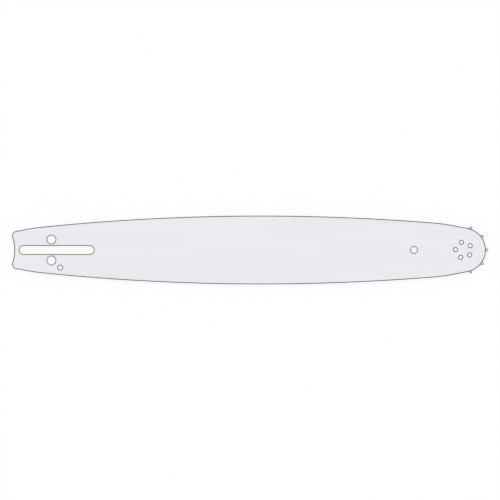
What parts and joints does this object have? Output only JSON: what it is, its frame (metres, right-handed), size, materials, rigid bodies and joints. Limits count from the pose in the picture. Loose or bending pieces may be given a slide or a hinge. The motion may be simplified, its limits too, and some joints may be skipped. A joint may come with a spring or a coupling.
{
  "type": "chainsaw guide bar",
  "caption": "Laminated sprocket-nose guide bar for a chainsaw: long curved blade with grooved rails for the chain, a slotted tail for the bar studs and a toothed wheel on rollers in its nose.",
  "frame": {"origin": "middle of the stud slot, on the lower face, which lies against the saw's bar pad", "axes": "+X from the tail to the nose, +Y across the bar, +Z out of the upper face; the bar lies flat on its lower face"},
  "size_m": [0.4762, 0.0686, 0.0043],
  "materials": {
    "side_plates": "satin",
    "core": "satin",
    "rivets": "satin",
    "sprocket": "satin",
    "bearing": "polished",
    "cage": "satin"
  },
  "bodies": {
    "bar": {"side_plate_upper": "side_plates", "side_plate_lower": "side_plates", "core_plate": "core", "bearing_race": "bearing", "nose_rivets": "rivets"},
    "sprocket": {"nose_sprocket": "sprocket"},
    "cage": {"roller_cage": "cage"},
    "roller_01": {"bearing_roller_01": "bearing"},
    "roller_02": {"bearing_roller_02": "bearing"},
    "roller_03": {"bearing_roller_03": "bearing"},
    "roller_04": {"bearing_roller_04": "bearing"},
    "roller_05": {"bearing_roller_05": "bearing"},
    "roller_06": {"bearing_roller_06": "bearing"},
    "roller_07": {"bearing_roller_07": "bearing"},
    "roller_08": {"bearing_roller_08": "bearing"},
    "roller_09": {"bearing_roller_09": "bearing"},
    "roller_10": {"bearing_roller_10": "bearing"},
    "roller_11": {"bearing_roller_11": "bearing"},
    "roller_12": {"bearing_roller_12": "bearing"},
    "roller_13": {"bearing_roller_13": "bearing"},
    "roller_14": {"bearing_roller_14": "bearing"}
  },
  "joints": [
    {"name": "sprocket_spin", "type": "hinge", "parent": "bar", "child": "sprocket", "pos_m": [0.4068, 0, 0.00215], "axis": [0, 0, 1], "continuous": true},
    {"name": "cage_orbit", "type": "hinge", "parent": "bar", "child": "cage", "pos_m": [0.4068, 0, 0.00215], "axis": [0, 0, 1], "continuous": true},
    {"name": "roller_01_spin", "type": "hinge", "parent": "cage", "child": "roller_01", "pos_m": [0.41904, 0, 0.00215], "axis": [0, 0, 1], "continuous": true},
    {"name": "roller_02_spin", "type": "hinge", "parent": "cage", "child": "roller_02", "pos_m": [0.41783, 0.00531, 0.00215], "axis": [0, 0, 1], "continuous": true},
    {"name": "roller_03_spin", "type": "hinge", "parent": "cage", "child": "roller_03", "pos_m": [0.41443, 0.00957, 0.00215], "axis": [0, 0, 1], "continuous": true},
    {"name": "roller_04_spin", "type": "hinge", "parent": "cage", "child": "roller_04", "pos_m": [0.40952, 0.01193, 0.00215], "axis": [0, 0, 1], "continuous": true},
    {"name": "roller_05_spin", "type": "hinge", "parent": "cage", "child": "roller_05", "pos_m": [0.40408, 0.01193, 0.00215], "axis": [0, 0, 1], "continuous": true},
    {"name": "roller_06_spin", "type": "hinge", "parent": "cage", "child": "roller_06", "pos_m": [0.39917, 0.00957, 0.00215], "axis": [0, 0, 1], "continuous": true},
    {"name": "roller_07_spin", "type": "hinge", "parent": "cage", "child": "roller_07", "pos_m": [0.39577, 0.00531, 0.00215], "axis": [0, 0, 1], "continuous": true},
    {"name": "roller_08_spin", "type": "hinge", "parent": "cage", "child": "roller_08", "pos_m": [0.39456, 0, 0.00215], "axis": [0, 0, 1], "continuous": true},
    {"name": "roller_09_spin", "type": "hinge", "parent": "cage", "child": "roller_09", "pos_m": [0.39577, -0.00531, 0.00215], "axis": [0, 0, 1], "continuous": true},
    {"name": "roller_10_spin", "type": "hinge", "parent": "cage", "child": "roller_10", "pos_m": [0.39917, -0.00957, 0.00215], "axis": [0, 0, 1], "continuous": true},
    {"name": "roller_11_spin", "type": "hinge", "parent": "cage", "child": "roller_11", "pos_m": [0.40408, -0.01193, 0.00215], "axis": [0, 0, 1], "continuous": true},
    {"name": "roller_12_spin", "type": "hinge", "parent": "cage", "child": "roller_12", "pos_m": [0.40952, -0.01193, 0.00215], "axis": [0, 0, 1], "continuous": true},
    {"name": "roller_13_spin", "type": "hinge", "parent": "cage", "child": "roller_13", "pos_m": [0.41443, -0.00957, 0.00215], "axis": [0, 0, 1], "continuous": true},
    {"name": "roller_14_spin", "type": "hinge", "parent": "cage", "child": "roller_14", "pos_m": [0.41783, -0.00531, 0.00215], "axis": [0, 0, 1], "continuous": true}
  ],
  "couplings": [
    {"joint": "cage_orbit", "follows": "sprocket_spin", "ratio": 0.55882},
    {"joint": "roller_01_spin", "follows": "sprocket_spin", "ratio": 4.3269},
    {"joint": "roller_02_spin", "follows": "sprocket_spin", "ratio": 4.3269},
    {"joint": "roller_03_spin", "follows": "sprocket_spin", "ratio": 4.3269},
    {"joint": "roller_04_spin", "follows": "sprocket_spin", "ratio": 4.3269},
    {"joint": "roller_05_spin", "follows": "sprocket_spin", "ratio": 4.3269},
    {"joint": "roller_06_spin", "follows": "sprocket_spin", "ratio": 4.3269},
    {"joint": "roller_07_spin", "follows": "sprocket_spin", "ratio": 4.3269},
    {"joint": "roller_08_spin", "follows": "sprocket_spin", "ratio": 4.3269},
    {"joint": "roller_09_spin", "follows": "sprocket_spin", "ratio": 4.3269},
    {"joint": "roller_10_spin", "follows": "sprocket_spin", "ratio": 4.3269},
    {"joint": "roller_11_spin", "follows": "sprocket_spin", "ratio": 4.3269},
    {"joint": "roller_12_spin", "follows": "sprocket_spin", "ratio": 4.3269},
    {"joint": "roller_13_spin", "follows": "sprocket_spin", "ratio": 4.3269},
    {"joint": "roller_14_spin", "follows": "sprocket_spin", "ratio": 4.3269}
  ]
}
